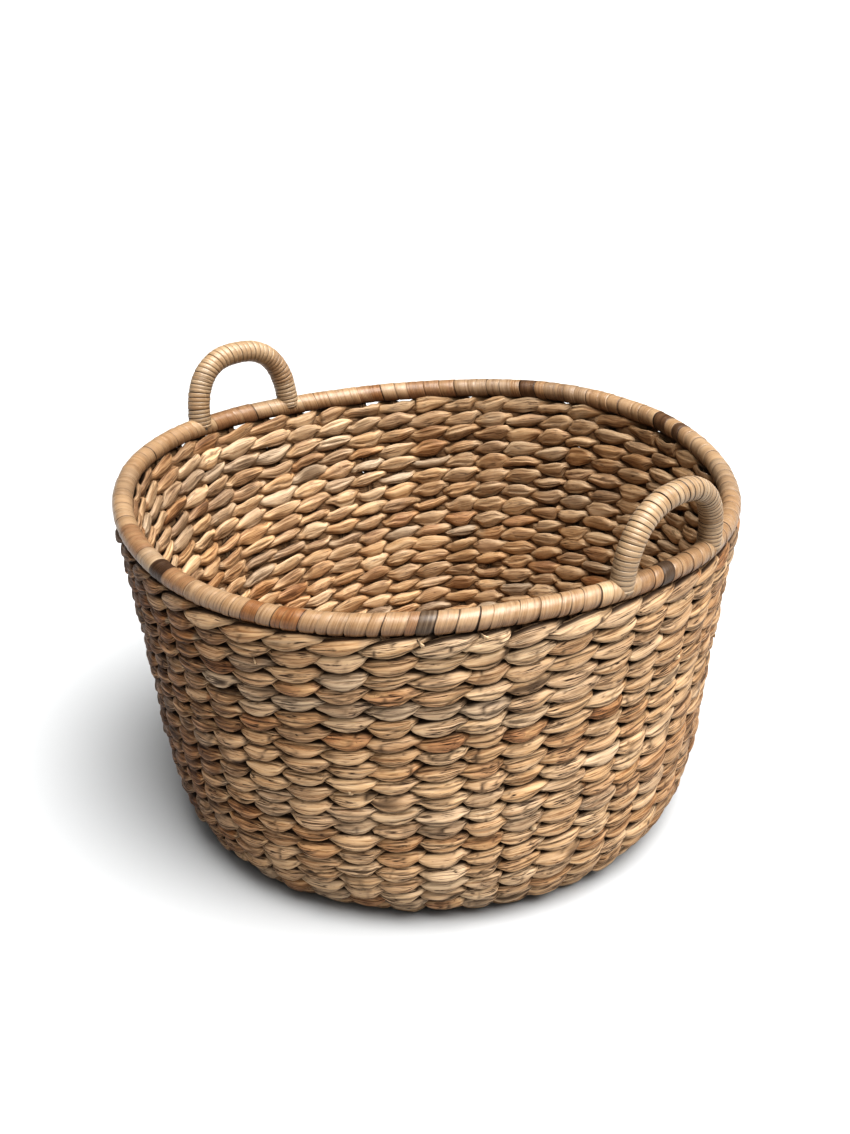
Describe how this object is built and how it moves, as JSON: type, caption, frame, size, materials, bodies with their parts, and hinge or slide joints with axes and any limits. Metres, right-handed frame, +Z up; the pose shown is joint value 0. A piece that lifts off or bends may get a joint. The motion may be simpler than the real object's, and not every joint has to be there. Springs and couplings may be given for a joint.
{
  "type": "woven storage basket",
  "caption": "Round twined leaf basket with a wrapped rim and two upright loop handles, for storing and carrying household things.",
  "frame": {"origin": "on the floor under the middle of the basket's outline, at the bottom of the base", "axes": "+Z up through the open mouth; the two handles stand at +X and -X; +Y is level, across the handles"},
  "size_m": [0.4596, 0.4454, 0.3122],
  "materials": {
    "weave_leaf": "dry flattened water-hyacinth leaf, satin to matt, tan with grey, orange and brown leaves mixed in",
    "base_leaf": "dry flattened water-hyacinth leaf, matt",
    "stake_leaf": "twisted leaf strip, matt",
    "hoop_bundle": "bundled leaf, matt",
    "wrap_leaf": "tight winding of smooth split leaf, satin",
    "lashing_leaf": "tight winding of smooth split leaf, satin",
    "handle_wire": "plain drawn iron wire, dull"
  },
  "bodies": {
    "root": {"base_round_inner": "base_leaf", "base_round_middle": "base_leaf", "base_round_outer": "base_leaf", "corner_row": "weave_leaf", "foot_lashing_left_a": "lashing_leaf", "foot_lashing_left_b": "lashing_leaf", "foot_lashing_right_a": "lashing_leaf", "foot_lashing_right_b": "lashing_leaf", "handle_left_padding": "hoop_bundle", "handle_left_wire": "handle_wire", "handle_left_wrap": "wrap_leaf", "handle_right_padding": "hoop_bundle", "handle_right_wire": "handle_wire", "handle_right_wrap": "wrap_leaf", "rim_hoop": "hoop_bundle", "rim_wrap_1": "wrap_leaf", "rim_wrap_2": "wrap_leaf", "rim_wrap_3": "wrap_leaf", "rim_wrap_4": "wrap_leaf", "rim_wrap_5": "wrap_leaf", "rim_wrap_6": "wrap_leaf", "rim_wrap_7": "wrap_leaf", "rim_wrap_8": "wrap_leaf", "stakes_crosswise": "stake_leaf", "stakes_lengthwise": "stake_leaf", "wall_row_01": "weave_leaf", "wall_row_02": "weave_leaf", "wall_row_03": "weave_leaf", "wall_row_04": "weave_leaf", "wall_row_05": "weave_leaf", "wall_row_06": "weave_leaf", "wall_row_07": "weave_leaf", "wall_row_08": "weave_leaf", "wall_row_09": "weave_leaf", "wall_row_10": "weave_leaf", "wall_row_11": "weave_leaf", "wall_row_12": "weave_leaf", "wall_row_13": "weave_leaf", "wall_row_14": "weave_leaf", "wall_row_15": "weave_leaf", "wall_row_16": "weave_leaf", "wall_row_17": "weave_leaf", "wall_row_18": "weave_leaf", "wall_row_19": "weave_leaf"}
  },
  "joints": []
}
